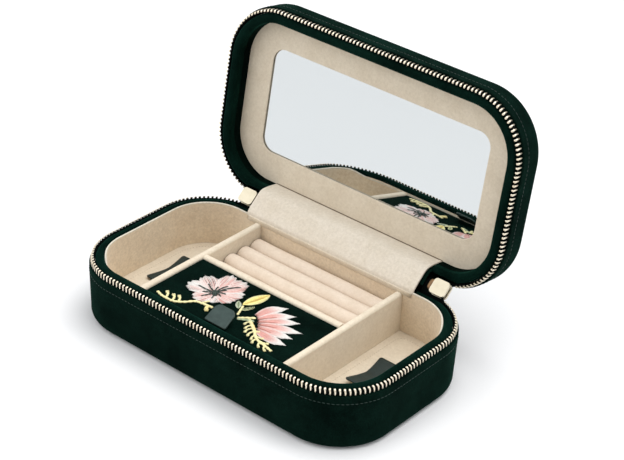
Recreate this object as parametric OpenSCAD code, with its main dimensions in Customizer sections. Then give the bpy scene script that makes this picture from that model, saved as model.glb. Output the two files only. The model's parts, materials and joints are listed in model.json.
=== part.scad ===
// Travel jewelry case, shown open.
// X is the width, Y runs from the front to the hinge, Z is up.
// The origin is on the underside, below the centre of the zip loop.
// Every wall is one profile swept round the zip loop. In a profile, o is the
// distance outward from the zip line and the second value is a height.
// The lid is drawn closed, with h its height above the zip plane, then opened.

/* [Case] */
// Width across the two rows of zip teeth
loop_w = 210; // [160:1:260]
// Depth across the two rows of zip teeth
loop_d = 115.5; // [90:0.5:150]
// Corner radius of the zip line
loop_r = 34.9; // [20:0.1:45]
// Height of the zip plane above the table
zip_z = 39.3; // [36:0.1:50]
// Height of the lid above the zip plane
lid_h = 23.3; // [22:0.1:35]
// Angle the lid is opened by
open_angle = 98.75; // [0:0.25:98.75]
// Distance of the outer wall from the zip line
wall_o = 2.2; // [1.8:0.1:3]
// Height of the seam under the zip
seam_z = 29.8; // [26:0.1:31]

/* [Inside] */
// Inner face of the lining, inward from the zip line
lining_o = 7.7; // [7:0.1:10]
// Top of the floor lining
floor_z = 10.5; // [10.5:0.1:12]
// Top of the dividers
divider_z = 36; // [30:0.1:37]
// Thickness of a divider
divider_t = 4.4; // [3:0.1:6]
// Distance of the two side dividers from the centre
divider_x = 53.85; // [45:0.05:60]
// Position of the cross divider
cross_y = 1.1; // [-10:0.1:10]
// Number of ring rolls
roll_n = 4; // [3:1:5]
// Top of the ring rolls
roll_z = 29.4; // [26:0.1:32]

/* [Lid] */
// Depth of the mirror panel below the zip plane
panel_h = 11.4; // [9:0.1:13]
// Width of the mirror
mirror_w = 159.5; // [120:0.5:170]
// Height of the mirror
mirror_d = 65.6; // [50:0.1:75]
// Corner radius of the mirror
mirror_r = 8.7; // [2:0.1:15]

/* [Zip] */
// Spacing of the zip teeth
pitch = 2.6; // [2:0.1:4]
// Distance of the right slider from the centre, parked at the end of the zip
slider_right_x = 75; // [71:0.1:76]
// Distance of the left slider from the centre
slider_left_x = 71; // [71:0.1:76]
// Length of a slider along the zip
slider_l = 10.5; // [8:0.1:12]
// Width of a slider across the zip
slider_w = 9.4; // [7:0.1:9.4]
// Length of the plate of a zip pull
pull_l = 22; // [15:1:30]
// Angle at which the pulls rest, turned towards each other behind the hinge
pull_rest = 60; // [0:5:60]

/* [Hidden] */
$fn = 48;
gap = 0.1;
half_w = loop_w / 2;
half_d = loop_d / 2;
straight_x = half_w - loop_r;
straight_y = half_d - loop_r;

// hinge axis, and what is cut away for the hinge and the sliders
hinge_y = half_d + 4.95;
hinge_z = zip_z - 0.7;
hinge_half = 63.6;
bay_in = 7.3;
bay_out = slider_l / 2 + 0.5;
bay_y = half_d - 4.15;
bay_h = 5.7;

// base wall, outside to inside
skin_t = 1;
base_taper = 0.8;
base_edge_r = 5;
foot_o = wall_o - base_taper - base_edge_r;
board_t = 2;
board_top_o = wall_o - skin_t - gap;
tooth_z = 3.9;
band_top = zip_z - 4;
band_in = 0.5;
tape_half = 0.3;
rim_out = -1.5;
rim_in = -6.8;
rim_z = 34;
rim_r = 2.4;

// lid wall
lid_wall_o = wall_o - 0.1;
lid_edge_r = 7;
lid_rim_in = -7.2;
lid_board_o = lid_wall_o - skin_t - gap;
lid_seam = zip_z - seam_z;

// stack behind the mirror
panel_t = 1.2;
mirror_t = 1.6;
card_t = 1;
top_board_h = lid_h - 3.9;

// zip pulls, measured outward from the zip
pin_r = 0.9;
pin_y = 3.9;
crown_w = 2.6;

// inside
inner_y = half_d - lining_o;
lining_z = zip_z - 3.3;
bay_x = divider_x - divider_t / 2;
cross_back = cross_y + divider_t / 2;
cross_front = cross_y - divider_t / 2;
bed_t = 3.4;
roll_pitch = (inner_y - 0.25 - cross_back) / roll_n;
tab_x = (bay_x + divider_t + half_w - lining_o) / 2;

// inner lid over the front compartment
flap_top = divider_z - 1.1;
flap_t = 2.3;
flap_back = cross_front - 0.4;
flap_front = gap * 5 - inner_y;

// ---- shared shapes ----

module rounded(w, d, r) {
    square([w - 2 * r, d], center = true);
    square([w, d - 2 * r], center = true);
    for (x = [-1, 1], y = [-1, 1])
        translate([x * (w / 2 - r), y * (d / 2 - r)])
            circle(r);
}

module loop(o) {
    rounded(loop_w + 2 * o, loop_d + 2 * o, loop_r + o);
}

module slab(o, z0, z1) {
    translate([0, 0, z0])
        linear_extrude(z1 - z0)
            loop(o);
}

// a profile, drawn as (o, height), swept round the zip loop
module sweep() {
    for (sx = [0, 1], sy = [0, 1])
        mirror([sx, 0, 0])
            mirror([0, sy, 0])
                translate([straight_x, straight_y, 0])
                    rotate_extrude(angle = 90, $fn = 96)
                        translate([loop_r, 0])
                            children();
    for (side = [0, 180])
        rotate([0, 0, side]) {
            translate([half_w, straight_y, 0])
                rotate([90, 0, 0])
                    linear_extrude(2 * straight_y)
                        children();
            translate([-straight_x, -half_d, 0])
                rotate([90, 0, -90])
                    mirror([0, 0, 1])
                        linear_extrude(2 * straight_x)
                            children();
        }
}

function slider_x(side) = side > 0 ? slider_right_x : slider_left_x;

// a box across the back of the case
module back_box(x0, x1, y0, z0, z1) {
    translate([x0, y0, z0])
        cube([x1 - x0, half_d, z1 - z0]);
}

// the room round each slider, which tips as the lid moves
module slider_bays(z0, z1) {
    for (side = [-1, 1]) {
        x0 = side * (slider_x(side) - bay_in);
        x1 = side * (slider_x(side) + bay_out);
        back_box(min(x0, x1), max(x0, x1), bay_y, z0, z1);
    }
}

// no zip between the far ends of the two slider bays
module zip_gap(z0, z1) {
    x = slider_right_x + bay_out;
    back_box(-slider_left_x - bay_out, x, bay_y, z0, z1);
}

// the rims stop at the hinge lining and leave room for the sliders
module rim_gap(z0, z1) {
    back_box(-hinge_half, hinge_half, straight_y, z0, z1);
    zip_gap(z0, z1);
}

module open_lid(angle = open_angle) {
    translate([0, hinge_y, hinge_z])
        rotate([-angle, 0, 0])
            translate([0, -hinge_y, -hinge_z])
                children();
}

// the lid's parts are drawn above the zip plane
module in_lid() {
    open_lid()
        translate([0, 0, zip_z])
            children();
}

// a quarter ring, for a wall that curves in to a flat face
module edge_ring(r, t) {
    difference() {
        circle(r);
        circle(r - t);
        translate([-2 * r, -r])
            square([2 * r, 2 * r]);
        translate([-r, 0])
            square([2 * r, 2 * r]);
    }
}

module rim_profile(o0, o1, z0, z1) {
    translate([o0, z0])
        square([o1 - o0, z1 - z0 - rim_r]);
    translate([o0 + rim_r, z0])
        square([o1 - o0 - 2 * rim_r, z1 - z0]);
    for (o = [o0 + rim_r, o1 - rim_r])
        translate([o, z1 - rim_r])
            circle(rim_r);
}

// a sewn bar with a soft top, drawn across its length
module soft_bar(w, z0, z1, r) {
    translate([-w / 2, z0])
        square([w, z1 - z0 - r]);
    translate([r - w / 2, z0])
        square([w - 2 * r, z1 - z0]);
    for (side = [-1, 1])
        translate([side * (w / 2 - r), z1 - r])
            circle(r);
}

module bar_along_x(x0, x1, y) {
    translate([x0, y, 0])
        rotate([90, 0, 90])
            linear_extrude(x1 - x0)
                children();
}

module bar_along_y(y0, y1, x) {
    translate([x, y1, 0])
        rotate([90, 0, 0])
            linear_extrude(y1 - y0)
                children();
}

// a thin strip that follows a path of points
module strip(points, t) {
    n = len(points);
    upper = [for (i = [0 : n - 1]) points[i] + t / 2 * side_of(points, i)];
    lower = [for (i = [n - 1 : -1 : 0]) points[i] - t / 2 * side_of(points, i)];
    polygon(concat(upper, lower));
}

function side_of(p, i) =
    let (a = p[max(i - 1, 0)], b = p[min(i + 1, len(p) - 1)], d = b - a)
    [-d[1], d[0]] / norm(d);

// ---- base: tray and outside ----

module base_underside() {
    color([0.03, 0.1, 0.08])
        slab(foot_o - gap * 2, 0, skin_t);
}

module base_cover() {
    color([0.03, 0.12, 0.09])
        sweep() {
            translate([foot_o, base_edge_r])
                edge_ring(base_edge_r, skin_t);
            polygon([
                [wall_o - base_taper, base_edge_r], [wall_o, seam_z],
                [wall_o - skin_t, seam_z],
                [wall_o - base_taper - skin_t, base_edge_r]
            ]);
        }
}

module base_floor_board() {
    color([0.55, 0.5, 0.42])
        slab(foot_o + 0.7, skin_t + gap, skin_t + board_t);
}

module base_wall_board() {
    z0 = skin_t + board_t + gap;
    color([0.55, 0.5, 0.42])
        sweep()
            polygon([
                [-1.9, z0], [-0.3, z0], [0.3, base_edge_r],
                [board_top_o, seam_z], [board_top_o - board_t, seam_z],
                [-1.9, base_edge_r]
            ]);
}

module base_wall_pad() {
    z0 = skin_t + board_t + gap * 2;
    color([0.85, 0.82, 0.75])
        sweep()
            polygon([
                [rim_in, z0], [-2.1, z0], [-1.1, seam_z],
                [-1.1, rim_z - gap], [rim_in, rim_z - gap]
            ]);
}

module band_profile(z0, z1) {
    r = 0.8;
    translate([band_in, z0])
        square([wall_o - band_in, z1 - z0 - r]);
    translate([band_in, z0])
        square([wall_o - band_in - r, z1 - z0]);
    translate([wall_o - r, z1 - r])
        circle(r);
}

module base_band() {
    color([0.04, 0.14, 0.11])
        difference() {
            sweep()
                band_profile(seam_z + gap, band_top);
            slider_bays(zip_z - bay_h, zip_z);
        }
}

module tape_profile(z0, z1) {
    translate([-tape_half, z0])
        square([2 * tape_half, z1 - z0]);
}

module base_zip_tape() {
    color([0.02, 0.02, 0.02])
        difference() {
            sweep()
                tape_profile(seam_z + 0.2, zip_z - 1.6);
            zip_gap(0, zip_z);
        }
}

// one tooth clamps the tape from both sides
module tooth(z0, up) {
    w = 1.25;
    bar = 1.1;
    leg = 0.75;
    z1 = z0 + tooth_z;
    cap = up ? z1 - bar : z0;
    translate([0, 0.65, 0])
        rotate([90, 0, 0])
            linear_extrude(1.3) {
                translate([-w, cap])
                    square([2 * w, bar]);
                translate([-w, z0])
                    square([leg, tooth_z]);
                translate([w - leg, z0])
                    square([leg, tooth_z]);
            }
}

// teeth round the loop; shift moves a row by a part of the spacing
module teeth(z0, up, shift) {
    nx = round(2 * straight_x / pitch);
    ny = round(2 * straight_y / pitch);
    na = round(PI * loop_r / 2 / pitch);
    for (i = [0 : nx - 1])
        translate([-straight_x + (i + shift) * 2 * straight_x / nx, -half_d, 0])
            rotate([0, 0, -90])
                tooth(z0, up);
    for (i = [0 : ny - 1], side = [0, 1])
        mirror([side, 0, 0])
            translate([half_w, -straight_y + (i + shift) * 2 * straight_y / ny, 0])
                tooth(z0, up);
    for (i = [0 : na - 1], side = [-1, 1]) {
        a = (i + shift) * 90 / na;
        turned = side > 0 ? 0 : 1;
        mirror([turned, 0, 0])
            translate([straight_x, -straight_y, 0])
                rotate([0, 0, -a])
                    translate([loop_r, 0, 0])
                        tooth(z0, up);
        if (straight_x + loop_r * cos(a) > slider_x(side) + bay_out + 0.9)
            mirror([turned, 0, 0])
                translate([straight_x, straight_y, 0])
                    rotate([0, 0, a])
                        translate([loop_r, 0, 0])
                            tooth(z0, up);
    }
}

module base_zip_teeth() {
    color([0.87, 0.78, 0.58])
        teeth(zip_z - gap - tooth_z, true, 0.25);
}

module base_rim() {
    color([0.04, 0.15, 0.12])
        difference() {
            sweep()
                rim_profile(rim_in, rim_out, rim_z, zip_z - 0.2);
            rim_gap(rim_z - 1, zip_z);
        }
}

// ---- base: lining, dividers and rolls ----

module base_edge_piping() {
    color([0.9, 0.85, 0.75])
        sweep()
            translate([0.4 - lining_o, zip_z - 0.6])
                circle(0.6, $fn = 16);
}

module base_lining_wall() {
    color([0.76, 0.67, 0.55])
        sweep()
            translate([-lining_o, floor_z + gap])
                square([0.8, lining_z - floor_z]);
}

module base_floor_pad() {
    color([0.85, 0.82, 0.75])
        slab(rim_in - gap, skin_t + board_t + gap, floor_z - 1.1);
}

module floor_piece(x0, x1) {
    color([0.86, 0.78, 0.67])
        intersection() {
            slab(rim_in - gap, floor_z - 1, floor_z);
            translate([x0, -half_d, 0])
                cube([x1 - x0, loop_d, floor_z + 1]);
        }
}

module floor_lining_left() {
    floor_piece(-half_w, -divider_x - gap);
}

module floor_lining_right() {
    floor_piece(divider_x + gap, half_w);
}

module floor_lining_middle() {
    floor_piece(-divider_x, divider_x);
}

module side_divider(side) {
    end = inner_y - gap;
    color([0.88, 0.81, 0.7])
        bar_along_y(-end, end, side * divider_x)
            soft_bar(divider_t, floor_z + gap, divider_z, 1.6);
}

module divider_left() {
    side_divider(-1);
}

module divider_right() {
    side_divider(1);
}

module divider_cross() {
    color([0.88, 0.81, 0.7])
        bar_along_x(gap - bay_x, bay_x - gap, cross_y)
            soft_bar(divider_t, floor_z + gap, divider_z, 1.6);
}

module ring_bed() {
    y0 = cross_back + gap;
    color([0.8, 0.72, 0.62])
        translate([gap - bay_x, y0, floor_z + gap])
            cube([2 * (bay_x - gap), inner_y - gap - y0, bed_t - gap]);
}

module ring_roll(i) {
    color([0.87, 0.79, 0.71])
        bar_along_x(0.3 - bay_x, bay_x - 0.3, cross_back + gap + (i - 0.5) * roll_pitch)
            soft_bar(roll_pitch - gap, floor_z + bed_t + gap, roll_z, 4.4);
}

module ring_roll_1() {
    ring_roll(1);
}

module ring_roll_2() {
    ring_roll(2);
}

module ring_roll_3() {
    ring_roll(3);
}

module ring_roll_4() {
    ring_roll(4);
}

// a flat bow of leather on the floor of each side compartment
module bow_tab(side) {
    w = 21.6;
    l = 32;
    waist = 2.6;
    r = (l * l / 4 + waist * waist) / (2 * waist);
    color([0.02, 0.06, 0.05])
        translate([side * tab_x, cross_y + 2.4, floor_z + gap])
            linear_extrude(1.2)
                difference() {
                    rounded(w, l, 3.5);
                    for (s = [-1, 1])
                        translate([s * (w / 2 + r - waist), 0])
                            circle(r, $fn = 128);
                }
}

module bow_tab_left() {
    bow_tab(-1);
}

module bow_tab_right() {
    bow_tab(1);
}

// ---- lid ----

module lid_cover() {
    ring_o = lid_wall_o - lid_edge_r;
    ring_h = lid_h - lid_edge_r;
    color([0.03, 0.12, 0.09])
        in_lid()
            sweep() {
                translate([ring_o, ring_h])
                    mirror([0, 1])
                        edge_ring(lid_edge_r, skin_t);
                translate([lid_wall_o - skin_t, lid_seam + gap])
                    square([skin_t, ring_h - lid_seam - gap]);
            }
}

module lid_top_panel() {
    color([0.03, 0.1, 0.08])
        in_lid()
            slab(lid_wall_o - lid_edge_r - gap * 2, top_board_h + board_t + gap, lid_h);
}

module lid_top_board() {
    color([0.55, 0.5, 0.42])
        in_lid()
            slab(lid_wall_o - 4.3, top_board_h, top_board_h + board_t);
}

module lid_wall_board() {
    color([0.55, 0.5, 0.42])
        in_lid()
            sweep()
                translate([lid_board_o - board_t, lid_seam + gap])
                    square([board_t, lid_h - lid_edge_r - lid_seam - gap]);
}

module lid_wall_pad() {
    color([0.85, 0.82, 0.75])
        in_lid()
            sweep()
                translate([lid_rim_in + 0.9, bay_h + gap])
                    square([5.2, top_board_h - bay_h - gap * 2]);
}

module lid_band() {
    color([0.04, 0.14, 0.11])
        in_lid()
            difference() {
                sweep()
                    translate([0, lid_seam])
                        mirror([0, 1])
                            band_profile(0, lid_seam - 4);
                slider_bays(0, bay_h);
            }
}

module lid_zip_tape() {
    color([0.02, 0.02, 0.02])
        in_lid()
            difference() {
                sweep()
                    tape_profile(1.6, lid_seam - 0.2);
                zip_gap(0, lid_seam);
            }
}

module lid_zip_teeth() {
    color([0.87, 0.78, 0.58])
        in_lid()
            teeth(gap, false, 0.75);
}

module lid_rim() {
    color([0.04, 0.15, 0.12])
        in_lid()
            difference() {
                sweep()
                    translate([0, bay_h])
                        mirror([0, 1])
                            rim_profile(lid_rim_in, rim_out, 0, bay_h - gap);
                rim_gap(0, lid_h);
            }
}

module lid_inner_wall() {
    color([0.04, 0.15, 0.12])
        in_lid()
            difference() {
                sweep()
                    translate([lid_rim_in, bay_h + gap])
                        square([0.8, panel_h - bay_h - gap * 2]);
                back_box(-hinge_half, hinge_half, straight_y, 0, lid_h);
            }
}

module mirror_panel() {
    color([0.86, 0.78, 0.67])
        in_lid()
            difference() {
                slab(lid_rim_in + 0.8, panel_h, panel_h + panel_t);
                translate([0, 0, panel_h - 1])
                    linear_extrude(panel_t + 2)
                        rounded(mirror_w, mirror_d, mirror_r);
            }
}

module mirror_glass() {
    lap = 3;
    color([0.8, 0.85, 0.88])
        in_lid()
            translate([0, 0, panel_h + panel_t + gap])
                linear_extrude(mirror_t)
                    rounded(mirror_w + lap, mirror_d + lap, mirror_r + lap / 2);
}

module mirror_backing() {
    h = panel_h + panel_t + mirror_t + gap * 2;
    color([0.55, 0.5, 0.42])
        in_lid()
            slab(lid_rim_in + 0.8, h, h + card_t);
}

module lid_top_pad() {
    h = panel_h + panel_t + mirror_t + card_t + gap * 3;
    color([0.85, 0.82, 0.75])
        in_lid()
            slab(lid_rim_in + 0.8, h, top_board_h - gap);
}

// ---- hinge ----

module hinge_lining_fixed() {
    half = hinge_half - 0.4;
    color([0.87, 0.8, 0.69])
        in_lid()
            translate([-half, half_d + lid_rim_in, gap * 2])
                cube([2 * half, 0.7, panel_h - gap * 4]);
}

// soft lining that bridges the opening behind the rings, drawn at full opening
module hinge_lining() {
    half = hinge_half - 0.4;
    lead = inner_y + 0.5;
    color([0.87, 0.8, 0.69])
        bar_along_x(-half, half, 0)
            strip([
                [lead, zip_z + 0.5], [lead + 4, zip_z + 4.3],
                [lead + 8, zip_z + 7.7], [lead + 11.4, zip_z + 9.9],
                [lead + 14.4, zip_z + 10.7]
            ], 0.8);
}

module hinge_cover() {
    half = hinge_half - 0.2;
    color([0.03, 0.12, 0.09])
        bar_along_x(-half, half, 0)
            strip([
                [half_d + 1.3, band_top + 0.6], [hinge_y, hinge_z],
                [hinge_y + 4.3, hinge_z + 2.9]
            ], 1);
}

// ---- inner lid over the front compartment ----

module flap_plate(inset, z0, z1) {
    x = bay_x - 0.5 - inset;
    translate([-x, flap_front + inset, z0])
        cube([2 * x, flap_back - flap_front - 2 * inset, z1 - z0]);
}

module flap_board() {
    color([0.04, 0.15, 0.12])
        flap_plate(0, flap_top - flap_t, flap_top);
}

module flap_lining() {
    color([0.86, 0.78, 0.67])
        flap_plate(1.2, flap_top - flap_t - 0.8, flap_top - flap_t - gap);
}

module petal(l, w, a) {
    rotate([0, 0, a])
        translate([l * 0.55, 0])
            scale([1, w / l])
                circle(l / 2, $fn = 20);
}

module embroidery_flowers() {
    open_n = 5;
    open_l = 15;
    fan_n = 6;
    color([0.86, 0.62, 0.62])
        translate([0, 0, flap_top + gap / 2])
            linear_extrude(0.35) {
                translate([-22.5, -20])
                    for (i = [0 : open_n - 1])
                        petal(open_l, 13, 18 + i * 360 / open_n);
                translate([12, -26])
                    for (i = [0 : fan_n - 1])
                        petal(20.5 + 1.8 * i, 6.6, 68 - 16.6 * i);
            }
}

module twig(points, leaf, turn) {
    strip(points, 0.9);
    for (i = [1 : len(points) - 1])
        translate(points[i])
            petal(leaf, leaf * 0.35, turn);
}

module embroidery_leaves() {
    color([0.6, 0.62, 0.3])
        translate([0, 0, flap_top + gap / 2])
            linear_extrude(0.35) {
                twig([[-46, -45], [-41, -46.3], [-36, -46.2], [-31, -45]], 4.5, 80);
                strip([[-31.5, -45.2], [-26.5, -41.5], [-21.5, -38.5], [-13, -37.2]], 0.9);
                translate([-1.5, -20])
                    petal(14.5, 5.5, 76);
                translate([1, -27])
                    petal(8, 3.5, 115);
                strip([[3, -31], [7, -29.2], [10.3, -27.4]], 0.9);
                twig([[13, -33], [18, -38], [24, -41.5], [30, -43.6]], 5, -22);
            }
}

module flap_pull_tab() {
    w = 16.5;
    l = 13.5;
    color([0.4, 0.44, 0.38])
        translate([0, flap_front + 1.6, flap_top + 0.7])
            rotate([22, 0, 0])
                translate([0, l / 2, 0])
                    linear_extrude(1.1)
                        rounded(w, l, 3);
}

// ---- sliders ----

// drawn on the zip line of the closed case, then tipped half as far as the lid
module on_slider(side) {
    open_lid(open_angle / 2)
        translate([side * slider_x(side), half_d, zip_z])
            children();
}

module slider(side) {
    plate_t = 1.2;
    inner_gap = 2.3;
    color([0.85, 0.75, 0.5])
        on_slider(side) {
            for (y = [inner_gap / 2 + plate_t, -inner_gap / 2])
                translate([0, y, 0])
                    rotate([90, 0, 0])
                        linear_extrude(plate_t)
                            rounded(slider_l, slider_w, 2);
            translate([side * 3.4, inner_gap / 2 + 0.2, 0])
                rotate([90, 0, 0])
                    cylinder(r = 1, h = inner_gap + 0.4);
            crown(inner_gap / 2 + plate_t);
        }
}

module crown(y) {
    difference() {
        translate([0, 0, -crown_w / 2])
            linear_extrude(crown_w) {
                translate([0, pin_y])
                    circle(1.9);
                translate([-1.9, y - 0.2])
                    square([3.8, pin_y - y + 0.2]);
            }
        translate([0, pin_y, -crown_w])
            cylinder(r = pin_r + 0.07, h = 2 * crown_w);
    }
}

module zip_stop(side) {
    color([0.85, 0.75, 0.5])
        on_slider(side)
            for (z = [-1.9, 1.9])
                translate([-side * (slider_l / 2 + 0.9), 0, z])
                    cube([1.6, 2.2, 2.4], center = true);
}

module pull(side) {
    arm_w = 1.2;
    arm_z = crown_w / 2 + 0.15;
    root = 4.4;
    plate_w = 8;
    color([0.85, 0.75, 0.5])
        on_slider(side)
            translate([0, pin_y, 0])
                rotate([0, 0, side * pull_rest]) {
                    translate([0, 0, -arm_z - arm_w / 2])
                        cylinder(r = pin_r, h = 2 * arm_z + arm_w);
                    for (z = [-arm_z - arm_w, arm_z])
                        translate([0, 0, z])
                            linear_extrude(arm_w) {
                                circle(1.4);
                                translate([-0.8, 0])
                                    square([1.6, root]);
                            }
                    translate([0.8, root - 0.4, 0])
                        rotate([0, -90, 0])
                            linear_extrude(1.6)
                                translate([0, pull_l / 2])
                                    rounded(plate_w, pull_l, 2);
                }
}

module slider_right() {
    slider(1);
}

module slider_left() {
    slider(-1);
}

module zip_stop_right() {
    zip_stop(1);
}

module zip_stop_left() {
    zip_stop(-1);
}

module pull_right() {
    pull(1);
}

module pull_left() {
    pull(-1);
}

// ---- what is drawn ----

base_underside();
base_cover();
base_floor_board();
base_wall_board();
base_wall_pad();
base_band();
base_zip_tape();
base_zip_teeth();
base_rim();
base_edge_piping();
base_lining_wall();
base_floor_pad();
floor_lining_left();
floor_lining_right();
floor_lining_middle();
divider_left();
divider_right();
divider_cross();
ring_bed();
ring_roll_1();
ring_roll_2();
ring_roll_3();
ring_roll_4();
bow_tab_left();
bow_tab_right();
lid_cover();
lid_top_panel();
lid_top_board();
lid_wall_board();
lid_wall_pad();
lid_band();
lid_zip_tape();
lid_zip_teeth();
lid_rim();
lid_inner_wall();
mirror_panel();
mirror_glass();
mirror_backing();
lid_top_pad();
hinge_lining_fixed();
hinge_lining();
hinge_cover();
flap_board();
flap_lining();
embroidery_flowers();
embroidery_leaves();
flap_pull_tab();
slider_right();
zip_stop_right();
pull_right();
slider_left();
zip_stop_left();
pull_left();
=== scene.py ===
import json
import math
import random

import bpy
import numpy as np
from mathutils import Matrix, Vector


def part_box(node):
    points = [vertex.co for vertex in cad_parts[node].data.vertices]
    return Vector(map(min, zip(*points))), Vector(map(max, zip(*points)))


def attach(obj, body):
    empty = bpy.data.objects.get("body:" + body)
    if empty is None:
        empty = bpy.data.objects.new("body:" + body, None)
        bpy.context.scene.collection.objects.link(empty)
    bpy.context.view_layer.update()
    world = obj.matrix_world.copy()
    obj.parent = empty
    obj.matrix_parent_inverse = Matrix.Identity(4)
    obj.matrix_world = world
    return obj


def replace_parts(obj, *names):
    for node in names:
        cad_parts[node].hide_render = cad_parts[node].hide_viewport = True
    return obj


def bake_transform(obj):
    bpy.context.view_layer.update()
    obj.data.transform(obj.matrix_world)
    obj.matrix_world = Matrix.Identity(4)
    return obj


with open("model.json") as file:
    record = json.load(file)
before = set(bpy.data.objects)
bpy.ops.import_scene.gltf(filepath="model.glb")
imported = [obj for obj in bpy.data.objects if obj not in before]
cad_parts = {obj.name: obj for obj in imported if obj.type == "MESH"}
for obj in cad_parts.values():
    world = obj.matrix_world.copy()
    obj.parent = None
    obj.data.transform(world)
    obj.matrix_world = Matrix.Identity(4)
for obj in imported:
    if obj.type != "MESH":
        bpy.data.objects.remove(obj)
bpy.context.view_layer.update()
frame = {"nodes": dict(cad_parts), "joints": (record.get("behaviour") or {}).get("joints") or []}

MM = 0.001
UP = Vector((0, 0, 1))
lid_hinge = {j["name"]: j for j in frame["joints"]}["lid_hinge"]
HINGE = Vector(lid_hinge["pos_m"])
OPEN = math.radians(lid_hinge["range_deg"][1])


def box(node):
    lo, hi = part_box(node)
    return Vector(lo), Vector(hi)


# ---- sizes

# what the boxes of the CAD nodes give: the zip line runs through the middle of the teeth
TOOTH_HALF = 1.25 * MM
teeth_lo, teeth_hi = box("base_zip_teeth")
HALF_W = teeth_hi.x - TOOTH_HALF
HALF_D = -teeth_lo.y - TOOTH_HALF
ZIP_Z = teeth_hi.z + 0.1 * MM
SEAM_Z = box("base_cover")[1].z
FLOOR_Z = box("floor_lining_middle")[1].z
FLAP_TOP = box("flap_board")[1].z
WALL_O = box("base_cover")[1].x - HALF_W

CORNER_R = 34.9 * MM
PITCH = 2.6 * MM
STRAIGHT_X = HALF_W - CORNER_R
STRAIGHT_Y = HALF_D - CORNER_R
ARC = CORNER_R * math.pi / 2
LOOP_LENGTH = 4 * (STRAIGHT_X + STRAIGHT_Y + ARC)

# each side by name, with the sign of its X
SIDES = {"right": 1, "left": -1}


def opened(angle):
    """Takes a place on the closed lid to where it is with the lid open by angle."""
    return Matrix.Translation(HINGE) @ Matrix.Rotation(-angle, 4, "X") @ Matrix.Translation(-HINGE)


LID = opened(OPEN)
HALF_LID = opened(OPEN / 2)


# ---- mesh tools

def new_object(name, shape, material, body=None, slot=None):
    """A smooth object from shape, its (verts, faces), that rides on body."""
    verts, faces = shape
    mesh = bpy.data.meshes.new(name)
    mesh.from_pydata([tuple(v) for v in verts], [], [tuple(f) for f in faces])
    mesh.validate()
    mesh.update()
    mesh.polygons.foreach_set("use_smooth", [True] * len(mesh.polygons))
    obj = bpy.data.objects.new(name, mesh)
    bpy.context.scene.collection.objects.link(obj)
    obj.data.materials.append(material)
    if body:
        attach(obj, body)
    return obj


def transformed(points, matrix):
    return [matrix @ Vector(p) for p in points]


def loop_at(s):
    """The point on the zip line at arc length s, with its outward normal.

    s starts at the middle of the back and runs to +X, the front and -X.
    """
    s = s % LOOP_LENGTH
    legs = (
        ("line", STRAIGHT_X, (0, HALF_D), (1, 0)),
        ("arc", ARC, (STRAIGHT_X, STRAIGHT_Y), 90),
        ("line", 2 * STRAIGHT_Y, (HALF_W, STRAIGHT_Y), (0, -1)),
        ("arc", ARC, (STRAIGHT_X, -STRAIGHT_Y), 0),
        ("line", 2 * STRAIGHT_X, (STRAIGHT_X, -HALF_D), (-1, 0)),
        ("arc", ARC, (-STRAIGHT_X, -STRAIGHT_Y), -90),
        ("line", 2 * STRAIGHT_Y, (-HALF_W, -STRAIGHT_Y), (0, 1)),
        ("arc", ARC, (-STRAIGHT_X, STRAIGHT_Y), 180),
        ("line", STRAIGHT_X, (-STRAIGHT_X, HALF_D), (1, 0)),
    )
    for kind, length, start, way in legs:
        if s <= length:
            if kind == "line":
                point = (start[0] + way[0] * s, start[1] + way[1] * s)
                return Vector((*point, 0)), Vector((-way[1], way[0], 0))
            angle = math.radians(way) - s / CORNER_R
            normal = Vector((math.cos(angle), math.sin(angle), 0))
            return Vector((*start, 0)) + normal * CORNER_R, normal
        s -= length
    return Vector((0, HALF_D, 0)), Vector((0, 1, 0))


def tube(path, across, along, ring=8, scale=None):
    """A closed tube with an elliptical section.

    path is a list of (point, u, v): the centre and the two axes of the section,
    whose half sizes are across and along, times scale at each point.
    """
    verts, faces = [], []
    count = len(path)
    for i, (p, u, v) in enumerate(path):
        k = scale[i] if scale else 1
        for j in range(ring):
            a = 2 * math.pi * j / ring
            verts.append(p + u * (across * k * math.cos(a)) + v * (along * k * math.sin(a)))
    for i in range(count - 1):
        for j in range(ring):
            a, b = i * ring + j, i * ring + (j + 1) % ring
            faces.append((a, b, b + ring, a + ring))
    faces.append(tuple(range(ring - 1, -1, -1)))
    faces.append(tuple(range((count - 1) * ring, count * ring)))
    return verts, faces


def gather(parts):
    """Several (verts, faces) as one."""
    verts, faces = [], []
    for v, f in parts:
        base = len(verts)
        verts.extend(v)
        faces.extend(tuple(i + base for i in face) for face in f)
    return verts, faces


def loft(rows, closed_rows=False, caps=False):
    """Faces over rows of points, each row with the same number of points."""
    verts = [p for row in rows for p in row]
    n, m = len(rows), len(rows[0])
    faces = []
    for i in range(n - 1):
        for j in range(m if closed_rows else m - 1):
            a, b = i * m + j, i * m + (j + 1) % m
            faces.append((a, a + m, b + m, b))
    if caps:
        faces.append(tuple(range(m)))
        faces.append(tuple(range((n - 1) * m, n * m))[::-1])
    return verts, faces


# ---- materials

def shader(name):
    material = bpy.data.materials.new(name)
    material.use_nodes = True
    return material, material.node_tree


def set_inputs(node, **values):
    """Sets sockets by name, with _ for a space."""
    for name, value in values.items():
        node.inputs[name.replace("_", " ")].default_value = value


def texture(tree, kind, **values):
    """A texture node of this kind in the object's own coordinates."""
    coords = tree.nodes.new("ShaderNodeTexCoord")
    node = tree.nodes.new("ShaderNodeTex" + kind)
    set_inputs(node, **values)
    tree.links.new(coords.outputs["Object"], node.inputs["Vector"])
    return node


def noise(tree, scale, detail=4.0, rough=0.6):
    return texture(tree, "Noise", Scale=scale, Detail=detail, Roughness=rough).outputs["Fac"]


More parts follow.
